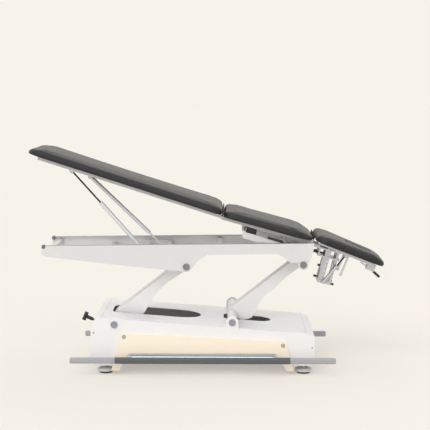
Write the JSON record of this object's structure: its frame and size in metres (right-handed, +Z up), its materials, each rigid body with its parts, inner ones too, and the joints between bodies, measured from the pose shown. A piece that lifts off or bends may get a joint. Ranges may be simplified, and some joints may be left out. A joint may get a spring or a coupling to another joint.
{
  "type": "treatment table",
  "caption": "Height-adjustable three-section treatment table: slanted padded top on rails, parallel lift arms, boxed base with wooden side panels and foot bars.",
  "frame": {"origin": "on the floor, below the middle of the outline box", "axes": "+X towards the head end, +Y to the far side of the picture, +Z up"},
  "size_m": [1.8688, 0.762, 1.1701],
  "materials": {
    "white_paint": "satin powder coat, near white",
    "grey_paint": "satin powder coat, light grey",
    "steel": "bright brushed steel",
    "cap_grey": "matt mid grey",
    "light_metal": "black anodised",
    "foot_plastic": "moulded light grey, matt",
    "light": "frosted, lit cool white",
    "black_rod": "black oxide",
    "black_plastic": "fine matt grain",
    "rubber": "matt",
    "birch": "clear matt lacquer over pale birch",
    "board": "plywood painted dark grey",
    "cover": "soft synthetic leather, dark grey, fine grain"
  },
  "bodies": {
    "base": {"side_plates": "white_paint", "top_cover": "white_paint", "left_end_cover": "white_paint", "right_end_cover": "white_paint", "base_tray": "grey_paint", "foot_stems": "steel", "foot_pads": "foot_plastic", "wood_panels": "birch", "panel_screws": "steel", "light_channels": "light_metal", "light_diffusers": "light", "base_shafts": "cap_grey", "bar_bearings": "grey_paint", "control_box": "black_plastic", "mains_inlet": "black_plastic", "actuator_tube": "cap_grey", "actuator_motor": "black_plastic"},
    "lock_handle": {"lock_handle": "steel"},
    "foot_bar_near": {"foot_bar_near": "grey_paint", "bar_sleeve_near": "cap_grey"},
    "foot_bar_far": {"foot_bar_far": "grey_paint", "bar_sleeve_far": "cap_grey"},
    "left_arm": {"left_arm": "white_paint"},
    "right_arm": {"right_arm": "white_paint", "torque_tube": "grey_paint"},
    "actuator_rod": {"actuator_rod": "steel"},
    "frame": {"rails": "white_paint", "frame_tubes": "white_paint", "upper_shafts": "cap_grey", "rail_bumpers": "rubber", "seat_drive": "black_plastic"},
    "strut_carriage": {"strut_carriage": "grey_paint", "spring_foot_pin": "steel", "stay_foot_pin": "steel"},
    "seat_lever": {"seat_lever": "white_paint"},
    "slider_blocks": {"slider_blocks": "black_plastic"},
    "seat": {"seat_frame": "grey_paint", "seat_board": "board", "seat_pad": "cover", "hinge_pins": "steel", "head_guide": "grey_paint"},
    "clamp_knob": {"clamp_knob": "black_plastic"},
    "leg": {"leg_frame": "grey_paint", "leg_board": "board", "leg_pad": "cover", "spring_head_pin": "steel", "stay_head_pin": "steel"},
    "spring_cylinder": {"spring_cylinder": "steel"},
    "spring_rod": {"spring_rod": "black_rod"},
    "stay_rod": {"stay_rod": "steel"},
    "stay_tube": {"stay_tube": "cap_grey"},
    "head_carrier": {"head_posts": "steel"},
    "head": {"head_frame": "grey_paint", "head_board": "board", "head_pad": "cover"},
    "face_plug": {"face_plug": "cover"},
    "tilt_tube": {"tilt_stay_tube": "steel"},
    "tilt_rod": {"tilt_stay_rod": "black_rod"},
    "release_lever": {"release_lever": "steel", "lever_grip": "black_plastic"}
  },
  "joints": [
    {"name": "lift", "type": "hinge", "parent": "base", "child": "left_arm", "pos_m": [-0.484, 0, 0.259], "axis": [0, -1, 0], "range_deg": [-33, 32]},
    {"name": "right_arm", "type": "hinge", "parent": "base", "child": "right_arm", "pos_m": [0.126, 0, 0.271], "axis": [0, -1, 0], "range_deg": [-33, 32]},
    {"name": "frame_level", "type": "hinge", "parent": "left_arm", "child": "frame", "pos_m": [-0.11392, 0, 0.5471], "axis": [0, -1, 0], "range_deg": [-32, 33]},
    {"name": "actuator_level", "type": "hinge", "parent": "right_arm", "child": "actuator_rod", "pos_m": [0.126, 0.025, 0.191], "axis": [0, -1, 0], "range_deg": [-32, 33]},
    {"name": "seat_tilt", "type": "hinge", "parent": "frame", "child": "seat", "pos_m": [0.53, 0, 0.648], "axis": [0, 1, 0], "range_deg": [-15.5, 0]},
    {"name": "leg_tilt", "type": "hinge", "parent": "seat", "child": "leg", "pos_m": [0.07028, 0, 0.80143], "axis": [0, 1, 0], "range_deg": [-2.5, 0.5]},
    {"name": "carriage", "type": "slide", "parent": "frame", "child": "strut_carriage", "axis": [1, 0, 0], "range_m": [0, 0.098]},
    {"name": "spring_foot", "type": "hinge", "parent": "strut_carriage", "child": "spring_cylinder", "pos_m": [-0.342, -0.13, 0.625], "axis": [0, 1, 0], "range_deg": [-45, 1]},
    {"name": "spring_head", "type": "hinge", "parent": "leg", "child": "spring_rod", "pos_m": [-0.715, -0.13, 1.042], "axis": [0, 1, 0], "range_deg": [-27, 1]},
    {"name": "stay_foot", "type": "hinge", "parent": "strut_carriage", "child": "stay_rod", "pos_m": [-0.238, 0, 0.625], "axis": [0, 1, 0], "range_deg": [-42, 1]},
    {"name": "stay_head", "type": "hinge", "parent": "leg", "child": "stay_tube", "pos_m": [-0.632, 0, 1.003], "axis": [0, 1, 0], "range_deg": [-24, 1]},
    {"name": "seat_lever", "type": "hinge", "parent": "frame", "child": "seat_lever", "pos_m": [0.41, 0, 0.648], "axis": [0, 1, 0], "range_deg": [-24.5, 1]},
    {"name": "slider", "type": "hinge", "parent": "seat_lever", "child": "slider_blocks", "pos_m": [0.203, 0, 0.708], "axis": [0, 1, 0], "range_deg": [-1, 9]},
    {"name": "head_height", "type": "slide", "parent": "seat", "child": "head_carrier", "axis": [0.2672, 0, 0.9636], "range_m": [0, 0.1]},
    {"name": "head_tilt", "type": "hinge", "parent": "head_carrier", "child": "head", "pos_m": [0.64573, 0, 0.63874], "axis": [0, 1, 0], "range_deg": [-15, 12]},
    {"name": "tilt_tube", "type": "hinge", "parent": "head_carrier", "child": "tilt_tube", "pos_m": [0.60738, -0.085, 0.44805], "axis": [0, 1, 0], "range_deg": [-3, 3]},
    {"name": "tilt_rod", "type": "hinge", "parent": "head", "child": "tilt_rod", "pos_m": [0.72701, -0.085, 0.59129], "axis": [0, 1, 0], "range_deg": [-12, 14.5]},
    {"name": "release_lever", "type": "hinge", "parent": "head", "child": "release_lever", "pos_m": [0.86322, 0, 0.51002], "axis": [0, 1, 0], "range_deg": [-6, 0], "stiffness_Nm_per_rad": 4, "springref_deg": 8.59},
    {"name": "plug_lift", "type": "slide", "parent": "head", "child": "face_plug", "axis": [0.3778, 0, 0.9259], "range_m": [0, 0.06]},
    {"name": "clamp_knob", "type": "hinge", "parent": "seat", "child": "clamp_knob", "pos_m": [0.58333, -0.06, 0.6083], "axis": [-0.9636, 0, 0.2672], "range_deg": [-180, 180]},
    {"name": "foot_bar_near", "type": "hinge", "parent": "base", "child": "foot_bar_near", "pos_m": [0, -0.25, 0.072], "axis": [1, 0, 0], "range_deg": [0, 3], "stiffness_Nm_per_rad": 150, "springref_deg": -6.88},
    {"name": "foot_bar_far", "type": "hinge", "parent": "base", "child": "foot_bar_far", "pos_m": [0, 0.25, 0.072], "axis": [-1, 0, 0], "range_deg": [0, 3], "stiffness_Nm_per_rad": 150, "springref_deg": -6.88},
    {"name": "lock_handle", "type": "hinge", "parent": "base", "child": "lock_handle", "pos_m": [-0.594, -0.215, 0.266], "axis": [-0.9138, 0, 0.4061], "range_deg": [0, 90]}
  ],
  "couplings": [
    {"joint": "right_arm", "follows": "lift", "ratio": 1},
    {"joint": "frame_level", "follows": "lift", "ratio": -1},
    {"joint": "actuator_level", "follows": "lift", "ratio": -1},
    {"joint": "leg_tilt", "follows": "seat_tilt", "ratio": 0.1452},
    {"joint": "carriage", "follows": "seat_tilt", "m_per_rad": -0.3598},
    {"joint": "spring_foot", "follows": "seat_tilt", "ratio": 2.8472},
    {"joint": "spring_head", "follows": "seat_tilt", "ratio": 1.702},
    {"joint": "stay_foot", "follows": "seat_tilt", "ratio": 2.6741},
    {"joint": "stay_head", "follows": "seat_tilt", "ratio": 1.5289},
    {"joint": "seat_lever", "follows": "seat_tilt", "ratio": 1.555},
    {"joint": "slider", "follows": "seat_tilt", "ratio": -0.555},
    {"joint": "tilt_tube", "follows": "head_tilt", "ratio": 0.0958},
    {"joint": "tilt_rod", "follows": "head_tilt", "ratio": -0.9042}
  ]
}
